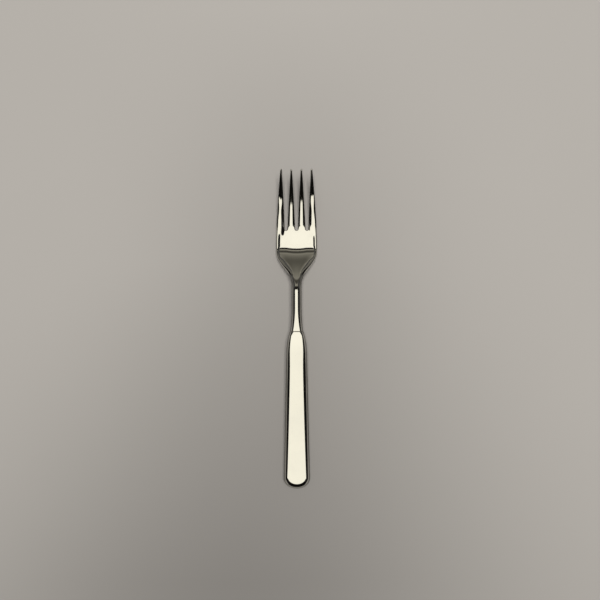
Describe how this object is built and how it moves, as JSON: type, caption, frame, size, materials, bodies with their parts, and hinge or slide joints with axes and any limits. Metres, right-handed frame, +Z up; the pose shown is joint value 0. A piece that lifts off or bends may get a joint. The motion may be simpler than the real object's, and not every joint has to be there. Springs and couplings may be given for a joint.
{
  "type": "fruit fork",
  "caption": "Polished steel fruit fork with slim tapered tines, a dished palm, sloping shoulders, a narrow neck and a hollow flat-faced handle that widens to a rounded butt.",
  "frame": {"origin": "on the table, under the centre of the fork's box, as the fork lies on its palm and butt", "axes": "+Y along the fork towards the tine tips, +X to the right with the fork face up, +Z up off the table"},
  "size_m": [0.0224, 0.1706, 0.014],
  "materials": {
    "head_steel": "polished",
    "front_shell_steel": "polished",
    "back_shell_steel": "polished",
    "seam_braze": "satin",
    "mouth_braze": "satin",
    "handle_cement": "matte"
  },
  "bodies": {
    "root": {"fork_head": "head_steel", "handle_front_shell": "front_shell_steel", "handle_back_shell": "back_shell_steel", "seam_braze": "seam_braze", "mouth_braze": "mouth_braze", "handle_filler": "handle_cement"}
  },
  "joints": []
}
